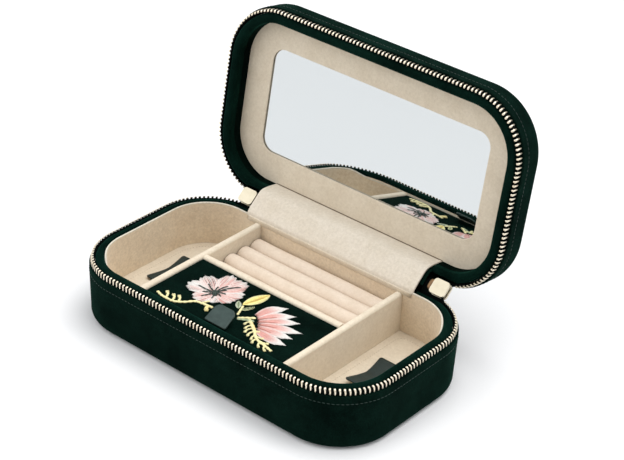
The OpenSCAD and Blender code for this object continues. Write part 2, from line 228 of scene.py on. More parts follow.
def ramp(tree, fac, low, high, colour_a, colour_b):
    node = tree.nodes.new("ShaderNodeValToRGB")
    node.color_ramp.elements[0].position = low
    node.color_ramp.elements[1].position = high
    node.color_ramp.elements[0].color = (*colour_a, 1)
    node.color_ramp.elements[1].color = (*colour_b, 1)
    tree.links.new(fac, node.inputs["Fac"])
    return node.outputs["Color"]


def multiplied(tree, a, b):
    node = tree.nodes.new("ShaderNodeMix")
    node.data_type = "RGBA"
    node.blend_type = "MULTIPLY"
    node.inputs["Factor"].default_value = 1.0
    tree.links.new(a, node.inputs["A"])
    tree.links.new(b, node.inputs["B"])
    return node.outputs["Result"]


def surface(tree, colour, bumps, **values):
    """Links the colour, sets the sockets and stacks bumps of (height, distance, strength)."""
    bsdf = tree.nodes["Principled BSDF"]
    tree.links.new(colour, bsdf.inputs["Base Color"])
    set_inputs(bsdf, **values)
    last = None
    for height, distance, strength in bumps:
        node = tree.nodes.new("ShaderNodeBump")
        set_inputs(node, Distance=distance, Strength=strength)
        tree.links.new(height, node.inputs["Height"])
        if last:
            tree.links.new(last, node.inputs["Normal"])
        last = node.outputs["Normal"]
        tree.links.new(last, bsdf.inputs["Normal"])
    return bsdf


def velvet(name, dark, light, sheen, weight):
    """Short pile: dark inside the pile, a soft green sheen off its tips."""
    material, tree = shader(name)
    nap = ramp(tree, noise(tree, 38, 4, 0.7), 0.36, 0.66, dark, light)
    pile = ramp(tree, noise(tree, 1500, 3, 0.7), 0.35, 0.7, (0.42, 0.42, 0.42), (1, 1, 1))
    crush, fibre = noise(tree, 60, 4), noise(tree, 1500, 3, 0.75)
    surface(tree, multiplied(tree, nap, pile),
            [(crush, 0.0006, 0.35), (fibre, 0.0003, 0.7)],
            Roughness=1.0, Specular_IOR_Level=0.02, Sheen_Weight=weight,
            Sheen_Roughness=0.34, Sheen_Tint=(*sheen, 1))
    return material


def suede(name, colour, warm, mottle=0.80):
    """Brushed microfibre: a fine nap with soft cloudy shading."""
    material, tree = shader(name)
    cloud = ramp(tree, noise(tree, 75, 5, 0.75), 0.36, 0.64, warm, colour)
    dark = (mottle, mottle * 0.985, mottle * 0.96)
    grain = ramp(tree, noise(tree, 620, 4, 0.75), 0.34, 0.66, dark, (1, 1, 1))
    soft, fibre = noise(tree, 120, 3), noise(tree, 1300, 4, 0.7)
    surface(tree, multiplied(tree, cloud, grain),
            [(soft, 0.0004, 0.3), (fibre, 0.00015, 0.45)],
            Roughness=0.92, Specular_IOR_Level=0.15, Sheen_Weight=0.25,
            Sheen_Roughness=0.5, Sheen_Tint=(1.0, 0.95, 0.88, 1))
    return material


def metal(name, colour, worn, rough):
    """Plated zinc: a little worn, with an uneven polish."""
    material, tree = shader(name)
    tint = ramp(tree, noise(tree, 160, 3), 0.3, 0.7, worn, colour)
    bsdf = surface(tree, tint, [(noise(tree, 700, 2), 0.00004, 0.25)], Metallic=1.0)
    polish = tree.nodes.new("ShaderNodeMapRange")
    set_inputs(polish, To_Min=rough * 0.7, To_Max=rough * 1.4)
    tree.links.new(noise(tree, 400, 3), polish.inputs["Value"])
    tree.links.new(polish.outputs["Result"], bsdf.inputs["Roughness"])
    return material


def leather(name, dark, light):
    """Smooth leather with a fine cell grain."""
    material, tree = shader(name)
    cells = texture(tree, "Voronoi", Scale=1400)
    cells.feature = "DISTANCE_TO_EDGE"
    tint = ramp(tree, noise(tree, 300, 4), 0.3, 0.7, dark, light)
    crease = noise(tree, 260, 4)
    surface(tree, tint, [(cells.outputs["Distance"], 0.0001, 0.4), (crease, 0.0002, 0.3)],
            Roughness=0.5, Specular_IOR_Level=0.4)
    return material


def woven(name, dark, light):
    """Zip tape: a fine twill."""
    material, tree = shader(name)
    wave = texture(tree, "Wave", Scale=900, Distortion=1.5)
    wave.bands_direction = "DIAGONAL"
    twill = wave.outputs["Fac"]
    surface(tree, ramp(tree, twill, 0.2, 0.8, dark, light), [(twill, 0.0001, 0.4)],
            Roughness=0.95, Specular_IOR_Level=0.1)
    return material


def thread(name):
    """Silk, coloured by the tint that each vertex of the mesh carries."""
    material, tree = shader(name)
    tint = tree.nodes.new("ShaderNodeAttribute")
    tint.attribute_name = "tint"
    streak = ramp(tree, noise(tree, 900, 3), 0.25, 0.75, (0.78, 0.78, 0.78), (1, 1, 1))
    surface(tree, multiplied(tree, tint.outputs["Color"], streak),
            [(noise(tree, 1800, 2), 0.00008, 0.4)],
            Roughness=0.5, Sheen_Weight=0.12, Sheen_Roughness=0.4)
    return material


def card(name, colour, dark):
    """Grey board or foam, flecked."""
    material, tree = shader(name)
    tint = ramp(tree, noise(tree, 500, 5, 0.7), 0.3, 0.75, dark, colour)
    surface(tree, tint, [(noise(tree, 900, 4), 0.0001, 0.4)], Roughness=0.9)
    return material


def silvered(name):
    """A glass mirror with a faint blue cast and the least unevenness."""
    material, tree = shader(name)
    tint = ramp(tree, noise(tree, 6, 2), 0.3, 0.7, (0.608, 0.633, 0.639), (0.623, 0.649, 0.654))
    surface(tree, tint, [], Metallic=1.0, Roughness=0.012)
    return material


OUTER = velvet("outer_velvet", (0.0013, 0.0062, 0.0044), (0.0036, 0.0165, 0.0115),
               (0.04, 0.30, 0.20), 0.13)
RIM = velvet("rim_velvet", (0.0014, 0.0082, 0.0058), (0.0036, 0.020, 0.0138),
             (0.04, 0.36, 0.25), 0.22)
FLAP = velvet("flap_velvet", (0.0012, 0.0056, 0.0040), (0.0026, 0.0125, 0.0088),
              (0.04, 0.26, 0.18), 0.10)
# The lid's inner wall: the rim velvet painted darker, as painted shade in the recess between the rim
# and the mirror panel.
INNER_SHADE = velvet("inner_velvet_painted_shade", (0.0008, 0.0034, 0.0025), (0.0018, 0.0076, 0.0054),
               (0.04, 0.26, 0.18), 0.06)
WALL = suede("wall_suede", (0.79, 0.665, 0.50), (0.725, 0.59, 0.43))
LIGHT = suede("light_suede", (0.735, 0.65, 0.52), (0.68, 0.59, 0.46), mottle=0.88)
HINGE_SUEDE = suede("hinge_suede", (0.76, 0.69, 0.59), (0.705, 0.63, 0.52), mottle=0.85)
PALE = suede("pale_suede", (0.76, 0.71, 0.61), (0.69, 0.64, 0.53))
ROLL = suede("roll_suede", (0.735, 0.625, 0.515), (0.685, 0.57, 0.455), mottle=0.92)
GOLD = metal("zip_metal", (0.92, 0.84, 0.69), (0.80, 0.70, 0.53), 0.34)
PULL_GOLD = metal("pull_metal", (0.66, 0.60, 0.465), (0.60, 0.54, 0.41), 0.42)
# Dark brown metal: painted shade for the shaded side of the sliders, used on the zip stops and slider
# necks.
SHADED_STOP_METAL = metal("stop_metal_painted_shade", (0.25, 0.155, 0.085), (0.19, 0.115, 0.06), 0.4)
TAPE = woven("zip_tape", (0.0012, 0.0022, 0.0020), (0.0042, 0.0075, 0.0066))
DARK_LEATHER = leather("dark_leather", (0.006, 0.016, 0.014), (0.011, 0.026, 0.023))
PULL_LEATHER = leather("pull_leather", (0.016, 0.036, 0.031), (0.03, 0.056, 0.049))
BOARD = card("greyboard", (0.42, 0.36, 0.29), (0.32, 0.27, 0.21))
FOAM = card("pad_foam", (0.75, 0.71, 0.62), (0.64, 0.60, 0.52))
MIRROR = silvered("mirror_silver")
STITCH = thread("stitch_thread")
SILK = thread("embroidery_silk")

NODE_MATERIALS = {
    OUTER: ("base_underside", "base_cover", "base_band", "lid_cover", "lid_top_panel", "lid_band"),
    RIM: ("base_rim", "lid_rim"),
    # painted shade: the lid's inner wall is the rim velvet made darker
    INNER_SHADE: ("lid_inner_wall",),
    FLAP: ("flap_board",),
    WALL: ("base_lining_wall", "ring_bed"),
    LIGHT: (
        "floor_lining_left", "floor_lining_right", "floor_lining_middle",
        "mirror_panel", "flap_lining", "divider_left", "divider_right", "divider_cross",
    ),
    # the zip stops carry the dark brown painted shade of the slider's side
    SHADED_STOP_METAL: ("zip_stop_right", "zip_stop_left"),
    PULL_GOLD: ("slider_right", "slider_left", "pull_right", "pull_left"),
    TAPE: ("base_zip_tape", "lid_zip_tape"),
    BOARD: ("base_floor_board", "base_wall_board", "lid_top_board", "lid_wall_board", "mirror_backing"),
    FOAM: ("base_wall_pad", "base_floor_pad", "lid_wall_pad", "lid_top_pad"),
    MIRROR: ("mirror_glass",),
}


def dress_nodes():
    for material, nodes in NODE_MATERIALS.items():
        for node in nodes:
            obj = frame["nodes"][node]
            obj.data.materials.clear()
            obj.data.materials.append(material)


def soften(nodes, width):
    """Rounds the edges of CAD nodes with modifiers, which leave their meshes alone."""
    for node in nodes:
        obj = frame["nodes"][node]
        weld = obj.modifiers.new("weld", "WELD")
        weld.merge_threshold = 0.00001
        bevel = obj.modifiers.new("bevel", "BEVEL")
        bevel.width = width
        bevel.segments = 3
        bevel.limit_method = "ANGLE"
        bevel.angle_limit = math.radians(40)
        bevel.use_clamp_overlap = True
        normals = obj.modifiers.new("normals", "WEIGHTED_NORMAL")
        normals.keep_sharp = False


dress_nodes()
soften(("divider_left", "divider_right", "divider_cross", "mirror_panel", "flap_board"), 0.5 * MM)
soften(("slider_right", "slider_left", "pull_right", "pull_left"), 0.28 * MM)
soften(("zip_stop_right", "zip_stop_left"), 0.25 * MM)


# ---- zip

def slider_ends():
    """Arc lengths along the loop where the teeth start and stop."""
    right = box("slider_right")[1].x + 0.1 * MM
    left = -box("slider_left")[0].x + 0.1 * MM
    angles = [math.asin((x - STRAIGHT_X) / CORNER_R) for x in (right, left)]
    start, end = (STRAIGHT_X + CORNER_R * a for a in angles)
    return start, LOOP_LENGTH - end


TOOTH_RING = 8


def tooth(s, flip):
    """One bent metal tooth that clamps the tape's edge, with a hooked head."""
    point, out = loop_at(s)
    way = UP.cross(out)
    top, foot = (ZIP_Z + 0.1 * MM, 1) if flip else (ZIP_Z - 0.1 * MM, -1)
    outline = (
        (0.93, 3.75), (0.99, 3.2), (1.0, 2.1), (0.93, 1.35), (0.66, 0.75),
        (0.22, 0.46), (-0.22, 0.46), (-0.66, 0.75), (-0.93, 1.35), (-1.0, 2.1), (-0.95, 3.3),
    )
    grow = (0.6, 0.95, 0.85, 0.95, 1.16, 1.2, 1.2, 1.16, 0.95, 0.85, 0.6)
    hook = (0, 0, 0, 0.08, 0.26, 0.34, 0.34, 0.26, 0.08, 0, 0)
    centres = [
        point + out * (o * MM) + UP * (top + foot * h * MM) + way * (k * MM * foot)
        for (o, h), k in zip(outline, hook)
    ]
    path = []
    for i, p in enumerate(centres):
        a, b = centres[max(i - 1, 0)], centres[min(i + 1, len(centres) - 1)]
        tangent = (b - a).normalized()
        path.append((p, way, tangent.cross(way)))
    return tube(path, 0.56 * MM, 0.36 * MM, TOOTH_RING, grow)


def teeth_row(name, node, body, flip, shift):
    """All the teeth of one side. Their inner legs, which face into the case, are drawn in the dark tape
    material as painted shade.
    """
    start, end = slider_ends()
    count = int((end - start) / PITCH)
    step = (end - start) / count
    parts = [tooth(start + (i + shift) * step, flip) for i in range(count)]
    # of each tooth's faces the last two close its ends, and the four rings before them, its inner legs,
    # get the painted shade
    sides = len(parts[0][1]) - 2
    shaded_legs = range(sides - 4 * TOOTH_RING, sides)
    verts, faces = gather(parts)
    if body == "lid":
        verts = transformed(verts, LID)
    obj = new_object(name, (verts, faces), GOLD, body, "zip_metal")
    # the dark tape material on the teeth's inner legs is painted shade
    obj.data.materials.append(TAPE)
    index = [int(i % (sides + 2) in shaded_legs) for i in range(len(faces))]
    obj.data.polygons.foreach_set("material_index", index)
    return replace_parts(obj, node)


teeth_row("zip_teeth_base", "base_zip_teeth", "base", False, 0.25)
teeth_row("zip_teeth_lid", "lid_zip_teeth", "lid", True, 0.75)


def tinted(obj, colours):
    """Writes one colour, or one per vertex, to the attribute the thread shader reads."""
    layer = obj.data.color_attributes.new("tint", "FLOAT_COLOR", "POINT")
    flat = np.ones((len(obj.data.vertices), 4), np.float32)
    flat[:, :3] = np.asarray(colours, np.float32)
    layer.data.foreach_set("color", flat.ravel())


def stitch_line(name, body, points, normals, length, spacing, radius, colour, slot):
    """Short raised stitches along a line of points."""
    parts = []
    gaps = [0.0]
    for a, b in zip(points, points[1:]):
        gaps.append(gaps[-1] + (b - a).length)
    total = gaps[-1]
    count = max(1, int(total / spacing))
    for i in range(count):
        middle = (i + 0.5) * total / count
        k = int(np.searchsorted(gaps, middle)) - 1
        k = min(max(k, 0), len(points) - 2)
        t = (middle - gaps[k]) / (gaps[k + 1] - gaps[k])
        centre = points[k].lerp(points[k + 1], t)
        up = normals[k].lerp(normals[k + 1], t).normalized()
        way = (points[k + 1] - points[k]).normalized()
        side = way.cross(up)
        path = []
        for q, dip in ((-0.5, -1.0), (-0.36, 0.1), (0, 0.45), (0.36, 0.1), (0.5, -1.0)):
            path.append((centre + way * (q * length) + up * (dip * radius), side, up))
        parts.append(tube(path, radius, radius * 0.8, 6, (0.6, 1, 1, 1, 0.6)))
    tinted(new_object(name, gather(parts), STITCH, body, slot), colour)


def loop_line(offset, height):
    """Points round the zip line, moved outward and up, with their outward normals."""
    count = 220
    points, normals = [], []
    for i in range(count + 1):
        point, out = loop_at(LOOP_LENGTH * (i / count))
        points.append(point + out * offset + UP * height)
        normals.append(out)
    return points, normals


# length, spacing and radius of the stitches
SEAM_STITCH = (1.8 * MM, 2.5 * MM, 0.16 * MM)
FLOOR_STITCH = (0.9 * MM, 1.9 * MM, 0.16 * MM)

FLOOR_THREAD = (0.52, 0.42, 0.31)
SEAM_THREAD = (0.010, 0.036, 0.026)
SEAM_BROWN = (0.16, 0.10, 0.055)
LID_THREAD = (0.004, 0.017, 0.013)
seam_up = 0.95 * MM
line, out = loop_line(WALL_O, SEAM_Z + seam_up)
stitch_line("seam_stitches_base", "base", line, out, *SEAM_STITCH, SEAM_THREAD, "outer_velvet")
line, out = loop_line(WALL_O, 2 * ZIP_Z - SEAM_Z - seam_up)
line = transformed(line, LID)
out = transformed(out, LID.to_3x3())
stitch_line("seam_stitches_lid", "lid", line, out, *SEAM_STITCH, LID_THREAD, "outer_velvet")


# ---- lining edge

def edge_piping():
    """The corded edge of the lining, sewn lower along the front and the right end.

    A skirt below the cord covers the top edge of the wall lining.
    """
    wall_top = box("base_lining_wall")[1].z
    start = box("hinge_lining")[1].x - 1 * MM
    steps, lowest, radius = 260, 3.6 * MM, 0.55 * MM
    cord, skirt_face, skirt_back = -7.3 * MM, -7.76 * MM, -7.1 * MM
    angles = [math.radians(-60 + 30 * k) for k in range(11)]
    rows = []
    for i in range(steps + 1):
        point, out = loop_at(start + (LOOP_LENGTH - 2 * start) * i / steps)
        front = min(max((0.63 * out.x - 0.78 * out.y + 0.15) / 0.65, 0), 1)
        drop = lowest * front * front * (3 - 2 * front)
        bead = point + out * cord + UP * (ZIP_Z - 0.6 * MM - drop)
        row = [bead + out * (radius * math.cos(a)) + UP * (radius * math.sin(a)) for a in angles]
        low = min(wall_top - 0.8 * MM, bead.z - 1.2 * MM)
        for z in (bead.z - 0.75 * MM, bead.z - 0.9 * MM, low + 0.1 * MM, low):
            row.append(point + out * skirt_face + UP * z)
        row.append(point + out * skirt_back + UP * low)
        rows.append(row)
    shape = loft(rows, closed_rows=True, caps=True)
    obj = new_object("lining_piping", shape, PALE, "base", "light_suede")
    obj.data.materials.append(WALL)
    across, first = len(rows[0]), len(angles) - 1
    index = [int(len(f.vertices) == 4 and min(v % across for v in f.vertices) >= first)
             for f in obj.data.polygons]
    obj.data.polygons.foreach_set("material_index", index)
    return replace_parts(obj, "base_edge_piping")


def floor_stitches(name, side):
    """A line of small stitches round the padded floor of a side compartment."""
    inset = 12.2 * MM
    near = box("divider_right")[1].x + 4.4 * MM
    bend = 5 * MM
    r = CORNER_R - inset
    deep = HALF_D - inset
    corners = (
        (STRAIGHT_X, STRAIGHT_Y, r, 90, 0), (STRAIGHT_X, -STRAIGHT_Y, r, 0, -90),
        (near + bend, -deep + bend, bend, -90, -180), (near + bend, deep - bend, bend, 180, 90),
    )
    points = []
    for cx, cy, radius, a0, a1 in corners:
        for k in range(13):
            a = math.radians(a0 + (a1 - a0) * k / 12)
            x, y = cx + radius * math.cos(a), cy + radius * math.sin(a)
            points.append(Vector((side * x, y, FLOOR_Z)))
    points.append(points[0])
    stitch_line(f"floor_stitches_{name}", "base", points, [UP] * len(points), *FLOOR_STITCH,
                FLOOR_THREAD, "light_suede")


edge_piping()
for name, side in SIDES.items():
    floor_stitches(name, side)


# ---- ring rolls

def swell(verts, faces, cap):
    """Fills a closed soft shape by cloth simulation, each point moving cap at most.

    It runs ten times life size, where the solver is steady, and gives back the
    new vertices and faces.
    """
    scale, voxel, frames, pressure = 10, 1.1 * MM, 20, 4.0
    scene = bpy.context.scene
    mesh = bpy.data.meshes.new("swelling")
    mesh.from_pydata([tuple(Vector(v) * scale) for v in verts], [], [tuple(f) for f in faces])
    obj = bpy.data.objects.new("swelling", mesh)
    scene.collection.objects.link(obj)
    remesh = obj.modifiers.new("remesh", "REMESH")
    remesh.mode = "VOXEL"
    remesh.voxel_size = voxel * scale
    graph = bpy.context.evaluated_depsgraph_get()
    even = bpy.data.meshes.new_from_object(obj.evaluated_get(graph))
    obj.modifiers.clear()
    obj.data = even
    fabric = obj.modifiers.new("fabric", "CLOTH")
    settings = fabric.settings
    settings.quality = 5
    settings.tension_stiffness = settings.compression_stiffness = 8
    settings.use_pressure = True
    settings.uniform_pressure_force = pressure
    settings.effector_weights.gravity = 0
    fabric.point_cache.frame_start = 1
    fabric.point_cache.frame_end = frames
    before = [v.co.copy() for v in even.vertices]
    for number in range(1, frames + 1):
        scene.frame_set(number)
    graph = bpy.context.evaluated_depsgraph_get()
    after = [v.co.copy() for v in obj.evaluated_get(graph).data.vertices]
    moved = []
    for a, b in zip(before, after):
        step = b - a
        far = min(step.length, cap * scale)
        moved.append((a + (step.normalized() * far if far else step)) / scale)
    shape = [tuple(p.vertices) for p in even.polygons]
    scene.frame_set(1)
    bpy.data.objects.remove(obj)
    return moved, shape


def ring_roll(index):
    """A soft tube of suede over foam, closed at both ends."""
    node = f"ring_roll_{index}"
    lo, hi = box(node)
    mid_y, half_y = (lo.y + hi.y) / 2, (hi.y - lo.y) / 2
    depth = hi.z - lo.z
    crown, belly = 0.42, 0.58
    n_long, n_ring = 90, 28
    rows = []
    for i in range(n_long + 1):
        t = i / n_long
        x = lo.x + (hi.x - lo.x) * t
        end = min(t, 1 - t) * (hi.x - lo.x)
        tuck = 1 - 0.10 * math.exp(-end / (1.2 * MM))
        sag = 0.12 * MM * math.sin(7 * t + index) + 0.08 * MM * math.sin(17 * t + 2 * index)
        row = []
        for j in range(n_ring):
            a = 2 * math.pi * j / n_ring
            c, s = math.cos(a), math.sin(a)
            y = abs(c) ** 0.86 * math.copysign(1, c) * half_y * (1 - 0.02 * (1 - tuck))
            if s >= 0:
                z = hi.z - crown * depth + s ** 0.92 * crown * depth * tuck
                z += sag * s
            else:
                z = hi.z - crown * depth + max(s, -0.999) * belly * depth
            row.append(Vector((x, mid_y + y, max(z, lo.z))))
        rows.append(row)
    verts, faces = loft(rows, closed_rows=True, caps=True)
    slack = 0.35 * MM
    centre = Vector(((lo.x + hi.x) / 2, mid_y, (lo.z + hi.z) / 2))
    size = hi - lo
    shrink = [1 - 2 * slack / side for side in size]
    verts = [centre + Vector([(v - c) * k for v, c, k in zip(p, centre, shrink)]) for p in verts]
    verts, faces = swell(verts, faces, slack)
    verts = [Vector((min(max(v, a), b) for v, a, b in zip(p, lo, hi))) for p in verts]
    obj = new_object(f"roll_{index}", (verts, faces), ROLL, "base", "roll_suede")
    smooth = obj.modifiers.new("smooth", "SUBSURF")
    smooth.levels = smooth.render_levels = 1
    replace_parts(obj, node)
    return obj


for number in range(1, 5):
    ring_roll(number)


# ---- hinge cloth

def cloth(grid, thickness, extra=None):
    """A thin closed sheet over a grid of points, (rows, columns, 3).

    extra adds to the half thickness, point by point.
    """
    grid = np.asarray(grid, float)
    n, m = grid.shape[:2]
    along = np.gradient(grid, axis=0)
    across = np.gradient(grid, axis=1)
    normal = np.cross(along, across)
    normal /= np.maximum(np.linalg.norm(normal, axis=2, keepdims=True), 1e-12)
    i, j = np.arange(n)[:, None], np.arange(m)[None, :]
    rim = np.minimum(np.minimum(i, n - 1 - i), np.minimum(j, m - 1 - j))
    half = thickness / 2 * np.where(rim == 0, 0.35, 1.0)
    if extra is not None:
        half = half + extra
    top, under = grid + normal * half[..., None], grid - normal * half[..., None]
    verts = [Vector(p) for p in np.concatenate([top.reshape(-1, 3), under.reshape(-1, 3)])]
    faces = []
    below = n * m
    for r in range(n - 1):
        for c in range(m - 1):
            a = r * m + c
            quad = (a, a + m, a + m + 1, a + 1)
            faces.append(quad)
            faces.append(tuple(k + below for k in quad[::-1]))
    border = list(range(m)) + [r * m + m - 1 for r in range(1, n)]
    border += [(n - 1) * m + c for c in range(m - 2, -1, -1)] + [r * m for r in range(n - 2, 0, -1)]
    for a, b in zip(border, border[1:] + border[:1]):
        faces.append((a, b, b + below, a + below))
    return verts, faces


def cloth_strip(name, path, half_w, thickness, material, slot, hem=0.0):
    """A strip of cloth across the hinge: path is in (y, z), its width along X.

    A hem makes the two side edges a little thicker, as a rolled edge is.
    """
    count = 64
    us = [math.sin(math.pi / 2 * (2 * j / count - 1)) for j in range(count + 1)]
    grid = [[(u * half_w, y, z) for u in us] for y, z in path]
    rim = half_w * (1 - np.abs(us))
    extra = hem * np.exp(-(((rim - 1.0 * MM) / (0.7 * MM)) ** 2))
    shape = cloth(grid, thickness, np.tile(extra, (len(path), 1)))
    return new_object(name, shape, material, slot=slot)


def spline(points, per=8):
    """A Catmull-Rom curve through points in a plane, per steps to each gap."""
    out = []
    p = [points[0]] + list(points) + [points[-1]]
    for i in range(1, len(p) - 2):
        for k in range(per):
            t = k / per
            out.append(tuple(
                0.5 * (2 * b + (d - a) * t + (2 * a - 5 * b + 4 * d - e) * t * t
                       + (3 * b - a - 3 * d + e) * t ** 3)
                for a, b, d, e in zip(*p[i - 1:i + 3])
            ))
    out.append(tuple(points[-1]))
    return out


def path_length(path):
    return sum(math.dist(a, b) for a, b in zip(path, path[1:]))


def hinge_lining():
    """The cream cloth from the back wall over the hinge to the mirror panel."""
    lo, hi = box("hinge_lining")
    flo, fhi = box("hinge_lining_fixed")
    end = (fhi.y - 0.1 * MM, flo.z + 0.45 * MM)
    wall_y = HALF_D - 7.45 * MM
    path = spline([
        (wall_y, lo.z - 1.5 * MM),
        (wall_y + 0.1 * MM, lo.z - 0.4 * MM),
        (lo.y + 0.9 * MM, lo.z + 1.3 * MM),
        (lo.y + 4.1 * MM, lo.z + 4.5 * MM),
        (lo.y + 8.1 * MM, lo.z + 8.0 * MM),
        (lo.y + 11.6 * MM, hi.z - 0.5 * MM),
        (flo.y + 0.6 * MM, fhi.z - 0.35 * MM),
        ((flo.y + end[0]) / 2, (fhi.z + end[1]) / 2),
        end,
    ], 6)
    obj = cloth_strip("hinge_lining_cloth", path, hi.x, 0.9 * MM, HINGE_SUEDE, "light_suede", 0.22 * MM)
    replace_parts(obj, "hinge_lining", "hinge_lining_fixed")
    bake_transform(obj)
    return (obj, path_length(path))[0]


def hinge_backing():
    """The velvet behind the hinge cloth, a little wider than it."""
    lo, hi = box("hinge_lining")
    flo, fhi = box("hinge_lining_fixed")
    behind = 1.5 * MM
    path = spline([
        (lo.y + 4.1 * MM + behind, lo.z + 4.5 * MM - behind),
        (lo.y + 8.1 * MM + behind, lo.z + 8.0 * MM - behind),
        (lo.y + 11.6 * MM + behind * 0.6, hi.z - 0.5 * MM - behind),
        (flo.y + 2.0 * MM, fhi.z - 0.35 * MM - behind),
    ], 6)
    half_w = hi.x + 1.7 * MM
    obj = cloth_strip("hinge_backing_cloth", path, half_w, 0.6 * MM, RIM, "outer_velvet")
    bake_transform(obj)
    return (obj, path_length(path))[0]


def panel_seam():
    """The dark line where the hinge cloth is tucked in under the mirror panel."""
    flo, fhi = box("hinge_lining_fixed")
    y, z = fhi.y + 0.05 * MM, flo.z + 0.95 * MM
    path = [(Vector((x, y, z)), Vector((0, 1, 0)), UP) for x in np.linspace(-fhi.x, fhi.x, 60)]
    shape = tube(path, 0.2 * MM, 0.2 * MM, 8)
    tinted(new_object("panel_seam", shape, STITCH, "lid", "light_suede"), SEAM_BROWN)


def wall_heading():
    """The turned top edge of the back wall, where the hinge cloth is sewn to it."""
    half_x = box("hinge_lining")[1].x - 1.3 * MM
    bottom, top = box("base_lining_wall")[1].z - 0.6 * MM, box("hinge_lining")[0].z - 0.9 * MM
    face, back = HALF_D - 8.32 * MM, HALF_D - 7.5 * MM
    profile = [(face, bottom), (face, top - 0.35 * MM), (face + 0.1 * MM, top - 0.1 * MM),
               (face + 0.35 * MM, top), (back, top), (back, bottom)]
    rows = [[Vector((x, y, z)) for y, z in profile] for x in np.linspace(-half_x, half_x, 40)]
    shape = loft(rows, closed_rows=True, caps=True)
    new_object("wall_heading", shape, LIGHT, "base", "light_suede")


def hinge_cover():
    """The velvet strip that closes the back of the hinge."""
    lo, hi = box("hinge_cover")
    half_w = hi.x + 0.5 * MM
    path = [(lo.y + (hi.y - lo.y) * t,
             lo.z + (hi.z - lo.z) * t - 1.1 * MM * math.sin(math.pi * t))
            for t in np.linspace(0, 1, 24)]
    obj = cloth_strip("hinge_cover_cloth", path, half_w, 1.0 * MM, OUTER, "outer_velvet")
    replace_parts(obj, "hinge_cover")
    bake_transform(obj)
    return (obj, path_length(path))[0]


def zip_web(name, side):
    """The two tapes that meet in a slider and part beyond it."""
    lo, hi = box(f"slider_{name}")
    near, far = sorted((abs(lo.x), abs(hi.x)))
    start_x = box("hinge_lining")[1].x - 0.3 * MM
    split_x, end_x = (near + far) / 2, far + 1.2 * MM
    columns = 40
    parts = []
    for lid_side in (False, True):
        grid = []
        for x in np.linspace(start_x, end_x, columns):
            y = STRAIGHT_Y + math.sqrt(CORNER_R ** 2 - max(x - STRAIGHT_X, 0) ** 2)
            px = x * side
            fold = HALF_LID @ Vector((px, y, ZIP_Z))
            flip = 1 if lid_side else -1
            frame_of = LID if lid_side else Matrix.Identity(4)
            root = frame_of @ Vector((px, y, ZIP_Z + flip * 4.6 * MM))
            edge = frame_of @ Vector((px, y, ZIP_Z + flip * 1.6 * MM))
            away = min(max((x - split_x) / (end_x - split_x), 0), 1) ** 0.8
            top = fold.lerp(edge, away)
            row = []
            for t in np.linspace(0, 1, 12):
                a, b = root.lerp(edge, t), edge.lerp(top, t)
                row.append(a.lerp(b, t))
            grid.append(row)
        parts.append(cloth(grid, 0.6 * MM))
    obj = new_object(f"zip_web_{name}", gather(parts), TAPE, slot="zip_tape")
    y = HALF_D
    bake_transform(obj)
    return obj


for name, side in SIDES.items():
    zip_web(name, side)
hinge_lining()
hinge_backing()
panel_seam()
wall_heading()
hinge_cover()


def slider_neck(name, side):
    """The lip of a slider's inner plate, clear of the tape that runs behind it, in dark brown metal as
    painted shade on the slider's shaded side.
    """
    lo, hi = box(f"zip_stop_{name}")
    half = OPEN / 2
    tall = Vector((0, math.sin(half), math.cos(half)))
    thick = Vector((0, math.cos(half), -math.sin(half)))
    centre = (lo + hi) / 2 - thick * 1.5 * MM
    path = [(centre + Vector((side * d * MM, 0, 0)), tall, thick) for d in (-1.5, -1.1, 1.4)]
    shape = tube(path, 3.3 * MM, 0.7 * MM, 16, (0.75, 0.9, 1.0))
    new_object(f"slider_neck_{name}", shape, SHADED_STOP_METAL, f"slider_{name}_body", "zip_metal")


for name, side in SIDES.items():
    slider_neck(name, side)


# ---- embroidery

WHITE = np.array((0.78, 0.76, 0.72))
BLUSH = np.array((0.74, 0.36, 0.31))
PINK = np.array((0.56, 0.19, 0.15))
YELLOW = np.array((0.92, 0.68, 0.20))
CREAM = np.array((0.88, 0.80, 0.42))
SAGE = np.array((0.42, 0.50, 0.30))
MOSS = np.array((0.004, 0.022, 0.012))


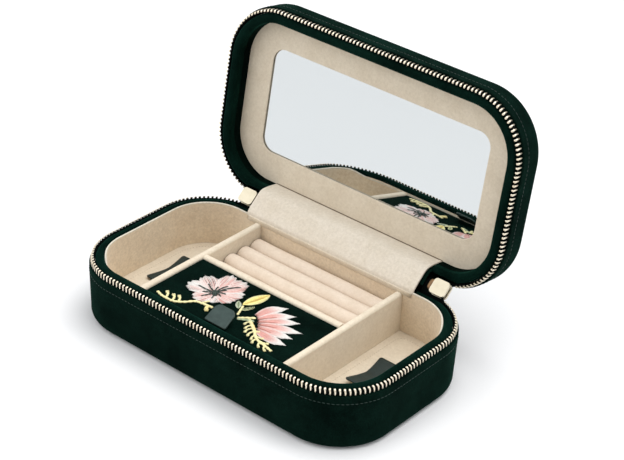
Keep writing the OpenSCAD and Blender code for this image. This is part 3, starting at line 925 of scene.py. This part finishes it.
class Embroidery:
    """Gathers threads laid on the flap, with one colour per vertex."""

    def __init__(self, seed):
        self.parts = []
        self.colours = []
        self.rng = random.Random(seed)

    def thread(self, points, colours, radius, lift):
        """points are (x, y) in millimetres on the flap; the thread arches over them.

        radius and lift are in millimetres too.
        """
        n = len(points)
        path, scale = [], []
        for i, (x, y) in enumerate(points):
            t = i / (n - 1)
            arch = math.sin(math.pi * min(max(t, 0.02), 0.98)) ** 0.5
            z = FLAP_TOP + (0.12 + lift * arch) * MM
            p = Vector((x * MM, y * MM, z))
            a, b = points[max(i - 1, 0)], points[min(i + 1, n - 1)]
            d = Vector((b[0] - a[0], b[1] - a[1], 0)).normalized()
            side = Vector((-d.y, d.x, 0))
            path.append((p, side, UP))
            scale.append(0.55 if i in (0, n - 1) else 1.0)
        self.parts.append(tube(path, radius * MM, radius * 0.8 * MM, 5, scale))
        for c in colours:
            self.colours.extend([tuple(c)] * 5)

    def petal(self, base, tip, width, shape, shade, threads, bow=0.0):
        """Threads that spread from the petal's base to its edge.

        shape.spread(t) is the part of the half width at t along the petal,
        shape.reach(u) how far its thread at u runs out, and shade(t, u, tone) its
        colour, with u from -1 to 1 across it. bow bends it sideways.
        """
        dx, dy = tip[0] - base[0], tip[1] - base[1]
        length = math.hypot(dx, dy)
        c, s = dx / length, dy / length
        for k in range(threads):
            u = 2 * (k + 0.5) / threads - 1
            reach = shape.reach(u) * (1 - 0.035 * self.rng.random())
            start = 0.03 + 0.07 * self.rng.random()
            lean = 0.1 * (self.rng.random() - 0.5)
            tone = self.rng.random()
            points, colours = [], []
            for i in range(6):
                t = start + (reach - start) * i / 5
                side = (u + lean * math.sin(math.pi * t)) * width / 2 * shape.spread(t)
                side += bow * math.sin(math.pi * t)
                along = length * t
                points.append((base[0] + along * c - side * s, base[1] + along * s + side * c))
                colours.append(shade(t, u, tone))
            self.thread(points, colours, 0.2 + 0.06 * self.rng.random(), 0.4)

    def line(self, points, colour, radius, lift=0.25):
        """A stem of two twisted threads, a little uneven."""
        wobble = 0.05
        dense = spline(points, 6)
        for twist in (0, math.pi):
            bent = []
            for i, (x, y) in enumerate(dense):
                a, b = dense[max(i - 1, 0)], dense[min(i + 1, len(dense) - 1)]
                d = Vector((b[0] - a[0], b[1] - a[1]))
                d = d.normalized() if d.length else Vector((1, 0))
                off = radius * 0.75 * math.sin(i * 1.1 + twist) + wobble * (self.rng.random() - 0.5)
                bent.append((x - d.y * off, y + d.x * off))
            shades = [colour * (0.85 + 0.3 * self.rng.random()) for _ in bent]
            self.thread(bent, shades, radius, lift)

    def leaf(self, base, tip, width, inner, outer, threads, radius=0.24):
        """Slanted threads either side of a midrib, from the inner colour to the outer."""
        bx, by = base
        dx, dy = tip[0] - bx, tip[1] - by
        length = math.hypot(dx, dy)
        c, s = dx / length, dy / length
        for side in (-1, 1):
            for k in range(threads // 2):
                t = (k + 0.5) / (threads // 2)
                rib = length * t
                half = width / 2 * math.sin(math.pi * min(0.12 + 0.88 * t, 1)) ** 0.7
                ahead = length * 0.16 * (1 - t)
                ends = []
                for q in (0, 0.5, 1):
                    along, across = rib + ahead * q, side * half * q
                    ends.append((bx + along * c - across * s, by + along * s + across * c))
                tone = 1.0 + 0.25 * self.rng.random()
                mixes = [blend_colours(inner, outer, q) for q in (0, 0.35, 1)]
                shades = [np.minimum(mix * tone, 0.95) for mix in mixes]
                self.thread(ends, shades, radius, 0.3)

    def finish(self, name, slot):
        """All the threads as one piece on the flap."""
        obj = new_object(name, gather(self.parts), SILK, "flap", slot)
        tinted(obj, self.colours)
        return obj


class Broad:
    """A petal that is widest near its ruffled edge."""

    def reach(self, u):
        return (1 - 0.3 * abs(u) ** 2.4) * (1 + 0.035 * math.sin(11 * u + 1))

    def spread(self, t):
        return math.sin(math.pi * min(0.66 * t, 0.62)) ** 0.85


class Pointed:
    """A petal that is widest past its middle and runs out to a point."""

    def reach(self, u):
        return 1 - 0.24 * abs(u) ** 1.6

    def spread(self, t):
        swell = 0.5 + 0.5 * math.sin(math.pi * min(t / 1.1, 0.5))
        return swell * math.cos(math.pi / 2 * min(max(t - 0.5, 0) / 0.5, 1)) ** 0.6 + 0.03


def blend_colours(a, b, w):
    w = min(max(w, 0), 1)
    return a * (1 - w) + b * w


def open_blossom(work):
    """Broad ruffled petals round a dark green eye."""
    centre = (-20.4, -24.0)
    petals = (((-18.5, -33.5), 12.5, 0.45), ((-26.5, -35.6), 12.5, 0.5), ((-7.4, -22.0), 12.0, 0.55),
              ((-39.4, -25.8), 13.0, 0.05), ((-36.8, -14.0), 13.0, 0.25), ((-7.6, -13.4), 12.5, 0.6),
              ((-25.8, -3.0), 11.0, 0.5), ((-15.0, -3.2), 13.5, 0.75))
    for tip, width, pinkness in petals:

        def shade(t, u, tone):
            streak = 0.95 * pinkness + 1.1 * (tone - 0.55) - 0.9 * max(t - 0.74, 0) / 0.26
            streak -= 0.5 * max(abs(u) - 0.8, 0) / 0.2
            colour = blend_colours(WHITE, BLUSH, streak + 0.1)
            return blend_colours(colour, PINK, (tone > 0.82) * 0.8 * pinkness)

        work.petal(centre, tip, width, Broad(), shade, 42)
    rays = ((-33.2, -24.4), (-30.0, -19.2), (-19.6, -13.4), (-13.6, -9.2), (-24.2, -32.0),
            (-25.6, -21.4), (-14.8, -20.6), (-15.4, -24.4), (-23.4, -17.6), (-18.0, -29.4),
            (-27.0, -27.8), (-17.2, -17.2))
    cx, cy = centre
    bend = 0.06
    for x, y in rays:
        middle = ((cx + x) / 2 - (y - cy) * bend, (cy + y) / 2 + (x - cx) * bend)
        work.line([centre, middle, (x, y)], MOSS, 0.27, 1.1)
    work.line([(-21.6, -21.8), centre, (-18.8, -26.0)], MOSS, 0.95, 0.9)


def pointed_blossom(work):
    """A fan of long petals, pink in their middles and pale at edges and points."""

    def shade(t, u, tone):
        w = max(t - 0.46, 0) / 0.3 + 0.9 * max(abs(u) - 0.5, 0) / 0.5 + 0.7 * (tone - 0.5)
        colour = blend_colours(BLUSH, WHITE, w)
        return blend_colours(colour, PINK, (tone > 0.66) * 0.85 * (0.85 - t))

    fan = (((20.0, -34.2), (42.6, -34.8), 6.8, -1.8), ((11.8, -25.6), (19.6, -6.4), 7.0, 2.2),
           ((18.4, -32.0), (41.0, -27.6), 6.2, -0.6), ((13.6, -27.0), (28.2, -9.6), 6.2, 1.2),
           ((16.8, -30.0), (41.4, -20.0), 6.4, 0.0), ((15.2, -28.4), (34.4, -13.2), 6.4, 0.6))
    for base, tip, width, bow in fan:
        work.petal(base, tip, width, Pointed(), shade, 26, bow)
    veins = (((14.5, -27.2), (22, -17)), ((16, -29), (26, -21)), ((18, -31), (29, -25.4)),
             ((19.5, -33), (30, -31.4)))
    for vein in veins:
        work.line(vein, PINK * 0.85, 0.12, 0.7)


def budded(work, start, tip, radius, colour):
    """A short side shoot that swells to a bud at its tip."""
    (x, y), (tx, ty) = start, tip
    bend = 0.12
    middle = (x + 0.55 * (tx - x) + bend * (ty - y), y + 0.55 * (ty - y) - bend * (tx - x))
    work.line([start, middle, tip], colour, radius)
    near = (middle[0] * 0.45 + tx * 0.55, middle[1] * 0.45 + ty * 0.55)
    work.line([near, tip], colour, radius * 1.5)


def open_stem(work):
    """The stem under the open blossom, with its buds."""
    work.line([(-45.4, -44.6), (-41.4, -46.0), (-36.5, -46.4), (-31.2, -45.8), (-26.6, -42.3),
               (-22.8, -37.6), (-18.4, -36.3), (-14.6, -35.8), (-11.6, -35.4)], CREAM, 0.6)
    for x, y in ((-37.4, -46.2), (-32.6, -46.0), (-29.4, -44.8)):
        budded(work, (x, y), (x - 4.0, y + 5.2), 0.5, CREAM)
    budded(work, (-14.4, -35.8), (-12.0, -40.0), 0.75, YELLOW * 0.4 + CREAM * 0.6)
    work.line([(-19.4, -36.2), (-18.0, -33.6), (-17.2, -31.8)], CREAM, 0.4)


def leaves(work):
    """The yellow leaf, the small green ones and the sprig at the right."""
    work.leaf((-1.6, -21.8), (3.0, -3.6), 7.8, YELLOW, CREAM, 68, 0.31)
    work.line([(-0.8, -20.4), (0.9, -13), (2.6, -6.0)], YELLOW * 0.8, 0.22, 0.6)
    work.leaf((-0.6, -26.2), (-5.8, -20.2), 3.6, SAGE, WHITE * 0.6 + SAGE * 0.4, 24)
    work.line([(3.2, -31.0), (1.6, -27), (-0.6, -22.0)], CREAM, 0.5)
    work.leaf((1.6, -26.4), (5.0, -18.6), 3.0, SAGE, CREAM, 18)
    work.line([(5.2, -33.4), (8.6, -30.4), (12.8, -26.4)], CREAM, 0.6)
    work.line([(5.8, -34.2), (10.4, -31.6), (14.2, -29.4)], SAGE, 0.5)
    work.line([(10.8, -29.6), (13.6, -31.6), (16.4, -33.4), (20.9, -36.8), (25.3, -40.3),
               (29.3, -42.2), (34.2, -43.0), (40.2, -44.4)], CREAM, 0.62)
    work.line([(13.6, -31.0), (18.4, -34.2), (23.0, -38.0)], YELLOW * 0.5 + CREAM * 0.5, 0.5)
    shoots = (((13.0, -31.4), (12.2, -35.4)), ((15.8, -33.2), (15.4, -38.4)),
              ((18.2, -34.8), (17.6, -41.0)), ((20.8, -36.8), (21.0, -42.6)),
              ((23.6, -38.8), (25.0, -44.0)), ((26.6, -41.0), (27.4, -46.0)),
              ((30.0, -42.2), (32.8, -46.6)), ((34.0, -43.0), (37.6, -46.8)),
              ((24.0, -39.2), (29.6, -38.6)), ((28.0, -41.6), (34.6, -40.4)),
              ((19.6, -35.6), (23.6, -35.4)))
    for start, tip in shoots:
        budded(work, start, tip, 0.4, CREAM)


flowers = Embroidery(3)
open_blossom(flowers)
pointed_blossom(flowers)
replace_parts(flowers.finish("embroidered_blossoms", "blossom_thread"), "embroidery_flowers")
greens = Embroidery(5)
open_stem(greens)
leaves(greens)
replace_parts(greens.finish("embroidered_leaves", "leaf_thread"), "embroidery_leaves")


# ---- leather tabs

def rounded_outline(half_x, half_y, far_r, near_r, per=6):
    """A rectangle about the origin, with its own corner radius at far and near ends."""
    points = []
    corners = ((1, 1, 0, far_r), (-1, 1, 90, far_r), (-1, -1, 180, near_r), (1, -1, 270, near_r))
    for cx, cy, a0, r in corners:
        for k in range(per + 1):
            a = math.radians(a0 + 90 * k / per)
            points.append((cx * (half_x - r) + r * math.cos(a), cy * (half_y - r) + r * math.sin(a)))
    return points


def leather_plate(outline, thickness, shape):
    """A cut piece of leather with rounded edges, bent by shape(x, y, h)."""
    rounding = 0.21875 * MM
    rings = []
    for h, inset in ((0.0, rounding), (0.18, 0.0), (0.82, 0.0), (1.0, rounding)):
        ring = []
        for x, y in outline:
            k = 1 - inset / (math.hypot(x, y) or 1)
            ring.append(shape(x * k, y * k, h * thickness))
        rings.append(ring)

    def filled(parts, h):
        return [[shape(x * k * 0.98, y * k * 0.98, h) for x, y in outline] for k in parts]

    inner = [q / 8 for q in range(1, 8)]
    rows = filled(inner, 0.0) + rings + filled(inner[::-1], thickness)
    return loft(rows, closed_rows=True, caps=True)


def pull_tab():
    """The leather tab, sewn down at the front and springing up towards the hinge."""
    lo, hi = box("flap_pull_tab")
    half_x = hi.x * 0.94
    length = 12.3 * MM
    pivot = Vector((1.6 * MM, lo.y + 0.4 * MM, lo.z + 0.2 * MM))
    outline = rounded_outline(half_x, length / 2, 3.8 * MM, 1.0 * MM, 8)

    def shape(x, y, h):
        t = (y + length / 2) / length
        lift = math.radians(27) * min(0.45 + 1.4 * t, 1.0)
        along = y + length / 2
        return pivot + Vector((x * (1 - 0.08 * t), along * math.cos(lift) - h * math.sin(lift),
                               along * math.sin(lift) + h * math.cos(lift)))

    plate = leather_plate(outline, 1.1 * MM, shape)
    obj = new_object("flap_tab_leather", plate, PULL_LEATHER, "flap_tab", "pull_leather")
    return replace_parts(obj, "flap_pull_tab")


def bow_tab(side, node, raised=0.0):
    """Two leather ends that meet at a narrow waist and curl up a little."""
    lo, hi = box(node)
    mid = (lo + hi) / 2
    half_x, half_y = (hi.x - lo.x) / 2, (hi.y - lo.y) / 2
    outline = rounded_outline(half_x, half_y, 1.8 * MM, 1.8 * MM)
    dense = []
    for a, b in zip(outline, outline[1:] + outline[:1]):
        steps = max(1, int(math.dist(a, b) / (1.5 * MM)))
        for k in range(steps):
            t = k / steps
            dense.append((a[0] + (b[0] - a[0]) * t, a[1] + (b[1] - a[1]) * t))
    waist = 2.6 * MM

    def shape(x, y, h):
        q = y / half_y
        squeeze = 1 - (waist / half_x) * (1 - min(abs(q), 1) ** 1.3)
        curl = 0.9 * MM * abs(q) ** 2 + raised * max(-q, 0)
        return Vector((mid.x + x * squeeze, mid.y + y, lo.z + h + curl))

    plate = leather_plate(dense, 1.15 * MM, shape)
    obj = new_object(f"leather_bow_{side}", plate, DARK_LEATHER, "base", "dark_leather")
    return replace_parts(obj, node)


pull_tab()
bow_tab("left", "bow_tab_left")
bow_tab("right", "bow_tab_right", 2.2 * MM)


# ---- stage

def plain(name, colour, rough):
    material, tree = shader(name)
    set_inputs(tree.nodes["Principled BSDF"], Base_Color=(*colour, 1), Roughness=rough)
    return material


def stage():
    """A pale floor that curves up into a wall behind the case."""
    size = 6.0
    wall, height = 2.6, 4.0
    bend, steps = 1.2, 14
    rows = []
    for x in (-size, size):
        row = [Vector((x, -size, 0)), Vector((x, wall - bend, 0))]
        for k in range(1, steps + 1):
            a = math.pi / 2 * k / steps
            row.append(Vector((x, wall - bend + bend * math.sin(a), bend - bend * math.cos(a))))
        row.append(Vector((x, wall, height)))
        rows.append(row)
    white = plain("studio_white", (0.815, 0.815, 0.82), 0.75)
    floor = new_object("studio_floor", loft(rows), white)


def area_light(name, place, aim, width, height, watts):
    data = bpy.data.lights.new(name, "AREA")
    data.shape = "RECTANGLE"
    data.size, data.size_y = width, height
    data.energy = watts
    light = bpy.data.objects.new(name, data)
    light.location = place
    light.rotation_euler = (Vector(aim) - Vector(place)).to_track_quat("-Z", "Y").to_euler()
    bpy.context.scene.collection.objects.link(light)


def lights():
    """Soft daylight from all round, with three large soft lamps."""
    world = bpy.data.worlds.new("studio")
    world.use_nodes = True
    sky = world.node_tree.nodes["Background"]
    set_inputs(sky, Color=(0.97, 0.985, 1.0, 1), Strength=0.62)
    bpy.context.scene.world = world
    area_light("overhead", (0.25, 0.4, 1.6), (0, 0, 0), 1.4, 1.2, 22)
    area_light("right", (1.4, 0.6, 1.0), (0.1, 0.1, 0.0), 1.0, 1.0, 6)
    area_light("front", (-0.95, -0.85, 1.0), (0, 0, 0.05), 2.4, 1.7, 15)


def camera():
    """The view the object is seen from: azimuth, elevation, roll and distance."""
    azimuth, elevation, roll = (math.radians(d) for d in (39.03, 30.93, 2.99))
    distance = 1.11076
    target = Vector((-0.02446, 0.06476, 0.03739))
    back = Vector((math.sin(azimuth) * math.cos(elevation),
                   -math.cos(azimuth) * math.cos(elevation), math.sin(elevation)))
    right = UP.cross(back).normalized()
    up = back.cross(right)
    right, up = (right * math.cos(roll) + up * math.sin(roll),
                 up * math.cos(roll) - right * math.sin(roll))
    data = bpy.data.cameras.new("camera")
    data.sensor_width = 36
    data.lens = 107.5
    data.clip_start, data.clip_end = 0.01, 50
    cam = bpy.data.objects.new("camera", data)
    matrix = Matrix((right, up, back)).transposed().to_4x4()
    cam.matrix_world = Matrix.Translation(target + back * distance) @ matrix
    bpy.context.scene.collection.objects.link(cam)
    bpy.context.scene.camera = cam


stage()
lights()
camera()
bpy.context.scene.view_settings.view_transform = "Standard"

bpy.context.view_layer.update()
